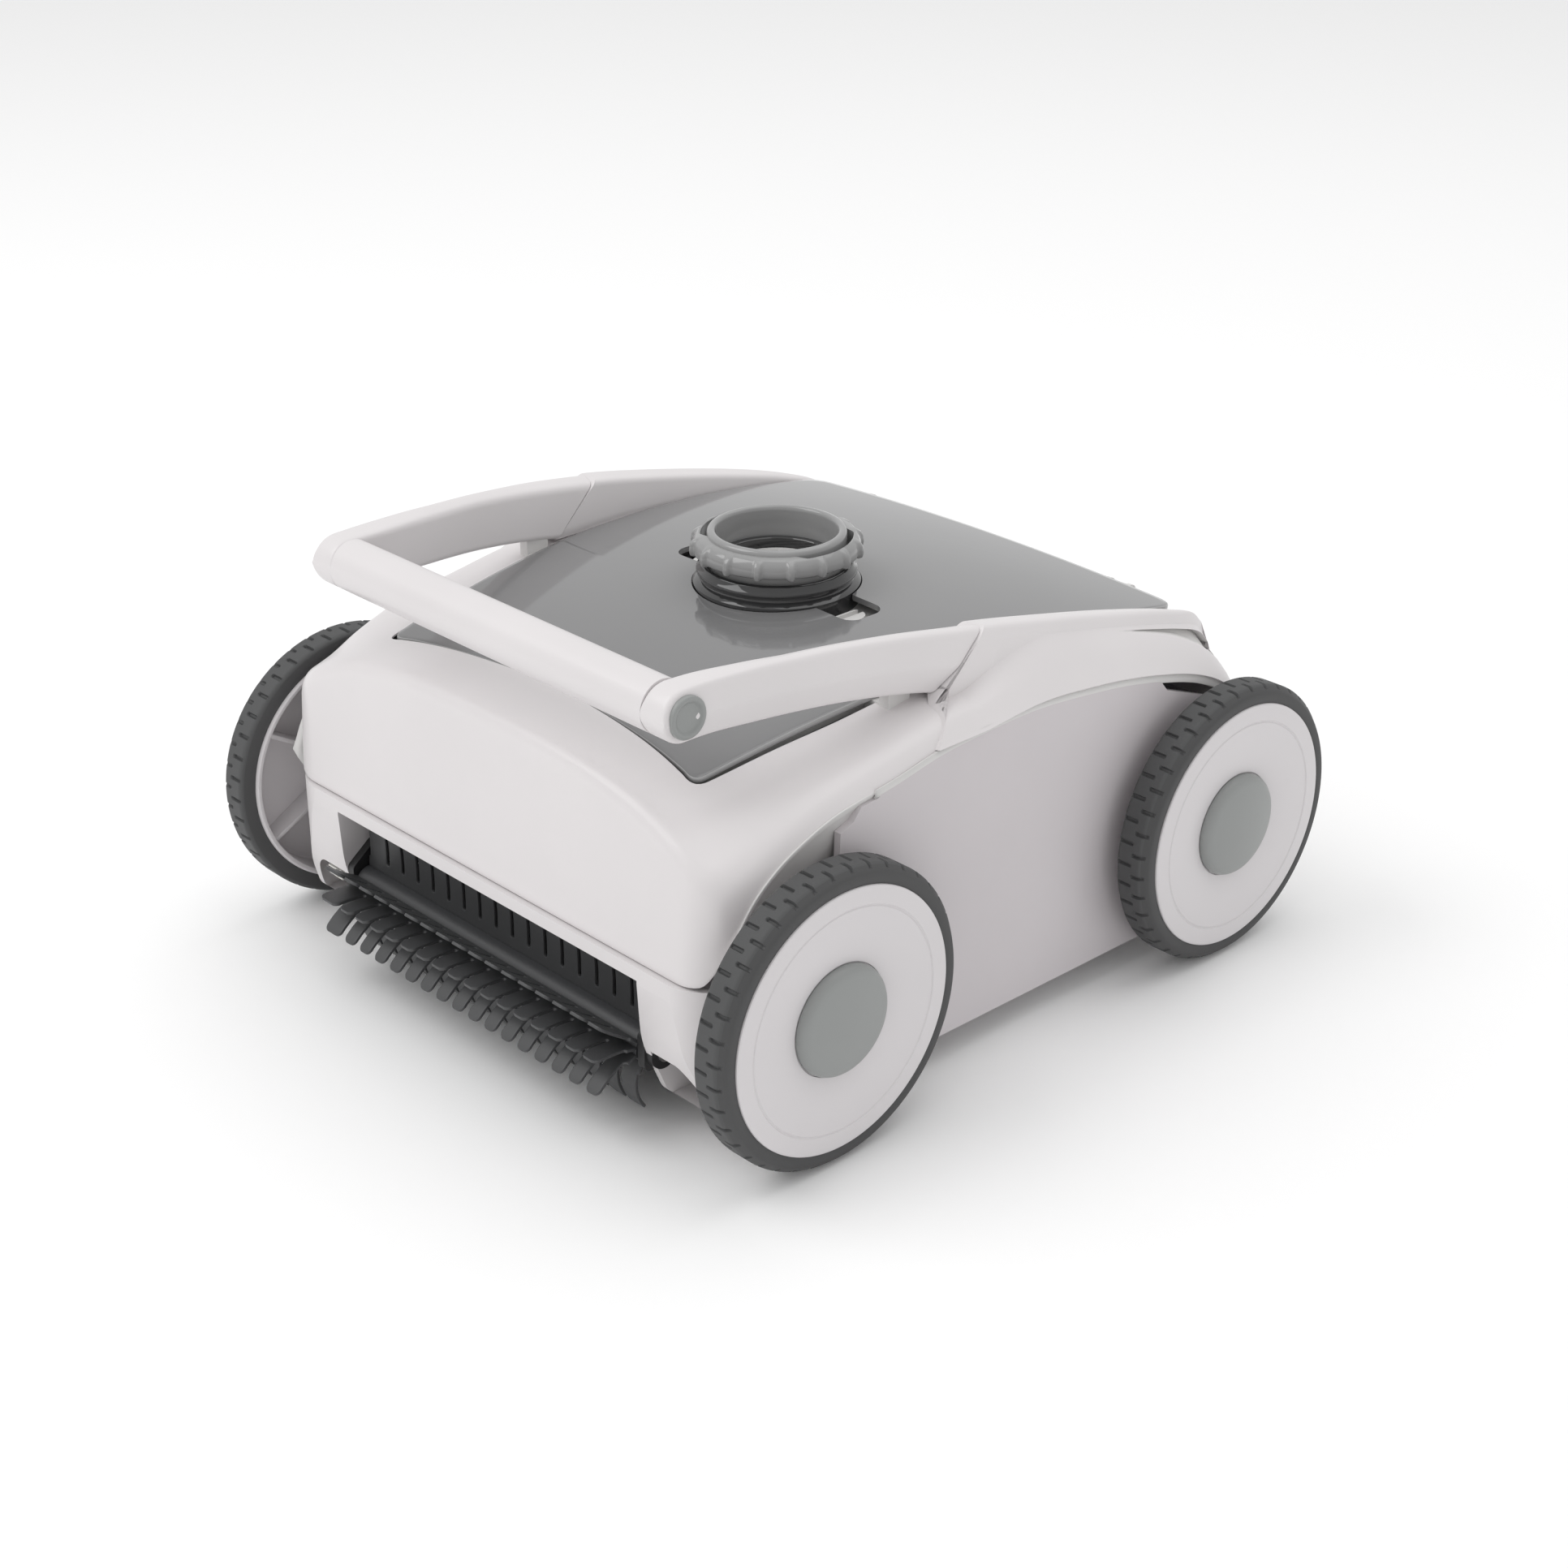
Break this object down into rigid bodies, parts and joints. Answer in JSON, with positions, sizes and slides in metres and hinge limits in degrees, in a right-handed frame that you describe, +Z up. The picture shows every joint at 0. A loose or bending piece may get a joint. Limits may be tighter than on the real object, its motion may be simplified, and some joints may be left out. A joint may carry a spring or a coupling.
{
  "type": "pool cleaner",
  "caption": "Wheeled suction pool cleaner: crowned shell, smoked lid with carrying handle and swivel hose collar, geared front axle driving a finned roller brush.",
  "frame": {"origin": "on the floor, under the hose collar's axis and midway between the axles", "axes": "+X to the cleaner's right, -Y to its front (brush and handle), +Z up"},
  "size_m": [0.401, 0.4344, 0.2286],
  "materials": {
    "shell_white": "satin moulded plastic, warm near-white",
    "panel_grey": "fine-textured light grey plastic",
    "lid_smoke": "polished smoked plastic",
    "collar_smoke": "polished smoked grey plastic",
    "collar_ring": "polished grey plastic",
    "inner_white": "natural white moulded plastic",
    "wheel_white": "satin white plastic",
    "cap_grey": "satin grey plastic",
    "tyre_rubber": "dark grey moulded rubber",
    "brush_rubber": "charcoal soft rubber",
    "liner_dark": "dark grey plastic",
    "seal_rubber": "black rubber",
    "steel": "stainless steel",
    "gear_plastic": "natural acetal",
    "bearing_plastic": "white acetal",
    "housing_grey": "mid-grey moulded plastic",
    "ballast_iron": "painted cast iron",
    "float_foam": "closed-cell foam"
  },
  "bodies": {
    "chassis": {"chassis_tub": "shell_white", "bottom_plate": "housing_grey", "bottom_plate_screws": "steel", "intake_skirt": "seal_rubber", "upper_shell": "shell_white", "side_panel_right": "panel_grey", "side_panel_left": "panel_grey", "brush_bay_grille": "liner_dark", "brush_bearings": "seal_rubber", "front_axle_bushes": "bearing_plastic", "rear_stub_axles": "steel", "rear_wheel_screws": "steel", "float_blocks": "float_foam", "gear_shafts": "steel", "gearbox_case": "housing_grey", "gearbox_cover": "housing_grey", "turbine_bearings": "bearing_plastic", "turbine_housing_lower": "housing_grey", "turbine_housing_upper": "housing_grey", "turbine_housing_screws": "steel", "outlet_gasket": "seal_rubber", "ballast_weight": "ballast_iron", "hinge_bracket": "inner_white", "hinge_pins": "steel"},
    "lid": {"lid_panel": "lid_smoke", "lid_frame": "inner_white", "handle_arm_right": "shell_white", "handle_arm_left": "shell_white", "handle_tube": "shell_white", "handle_caps": "cap_grey", "handle_screws": "steel", "hose_neck": "collar_smoke", "swirl_grille": "inner_white"},
    "hose_swivel": {"swivel_ring": "collar_ring", "collar_nut": "collar_ring"},
    "latch_right": {"latch_tab_right": "inner_white"},
    "latch_left": {"latch_tab_left": "inner_white"},
    "front_wheels": {"front_axle": "steel", "axle_gear": "gear_plastic", "front_tyre_right": "tyre_rubber", "front_rim_right": "wheel_white", "front_hub_cap_right": "cap_grey", "front_tyre_left": "tyre_rubber", "front_rim_left": "wheel_white", "front_hub_cap_left": "cap_grey"},
    "rear_wheel_right": {"rear_tyre_right": "tyre_rubber", "rear_rim_right": "wheel_white", "rear_hub_cap_right": "cap_grey"},
    "rear_wheel_left": {"rear_tyre_left": "tyre_rubber", "rear_rim_left": "wheel_white", "rear_hub_cap_left": "cap_grey"},
    "brush": {"brush_shaft": "steel", "brush_gear": "gear_plastic", "brush_core": "liner_dark", "brush_blades": "brush_rubber"},
    "idler": {"idler_gear": "gear_plastic"},
    "reduction": {"reduction_gear": "gear_plastic"},
    "turbine": {"turbine_shaft": "steel", "turbine_rotor": "gear_plastic", "turbine_pinion": "gear_plastic"}
  },
  "joints": [
    {"name": "lid_hinge", "type": "hinge", "parent": "chassis", "child": "lid", "pos_m": [0, 0.163, 0.1685], "axis": [-1, 0, 0], "range_deg": [0, 75]},
    {"name": "hose_swivel_spin", "type": "hinge", "parent": "lid", "child": "hose_swivel", "pos_m": [0, 0, 0.205], "axis": [0, 0, 1], "continuous": true},
    {"name": "latch_right_slide", "type": "slide", "parent": "lid", "child": "latch_right", "axis": [-1, 0, 0], "range_m": [0, 0.004], "stiffness_N_per_m": 150},
    {"name": "latch_left_slide", "type": "slide", "parent": "lid", "child": "latch_left", "axis": [1, 0, 0], "range_m": [0, 0.004], "stiffness_N_per_m": 150},
    {"name": "front_axle_spin", "type": "hinge", "parent": "chassis", "child": "front_wheels", "pos_m": [0, -0.1422, 0.075], "axis": [1, 0, 0], "continuous": true},
    {"name": "rear_wheel_right_spin", "type": "hinge", "parent": "chassis", "child": "rear_wheel_right", "pos_m": [0, 0.1422, 0.075], "axis": [1, 0, 0], "continuous": true},
    {"name": "rear_wheel_left_spin", "type": "hinge", "parent": "chassis", "child": "rear_wheel_left", "pos_m": [0, 0.1422, 0.075], "axis": [1, 0, 0], "continuous": true},
    {"name": "brush_spin", "type": "hinge", "parent": "chassis", "child": "brush", "pos_m": [0, -0.18474, 0.04318], "axis": [1, 0, 0], "continuous": true},
    {"name": "idler_spin", "type": "hinge", "parent": "chassis", "child": "idler", "pos_m": [0, -0.07194, 0.09014], "axis": [1, 0, 0], "continuous": true},
    {"name": "reduction_spin", "type": "hinge", "parent": "chassis", "child": "reduction", "pos_m": [0, -0.03837, 0.08661], "axis": [1, 0, 0], "continuous": true},
    {"name": "turbine_spin", "type": "hinge", "parent": "chassis", "child": "turbine", "pos_m": [0, 0, 0.092], "axis": [1, 0, 0], "continuous": true}
  ],
  "couplings": [
    {"joint": "brush_spin", "follows": "front_axle_spin", "ratio": -7.5},
    {"joint": "idler_spin", "follows": "front_axle_spin", "ratio": -1.875},
    {"joint": "reduction_spin", "follows": "front_axle_spin", "ratio": 5.3571},
    {"joint": "turbine_spin", "follows": "front_axle_spin", "ratio": -22.321}
  ]
}
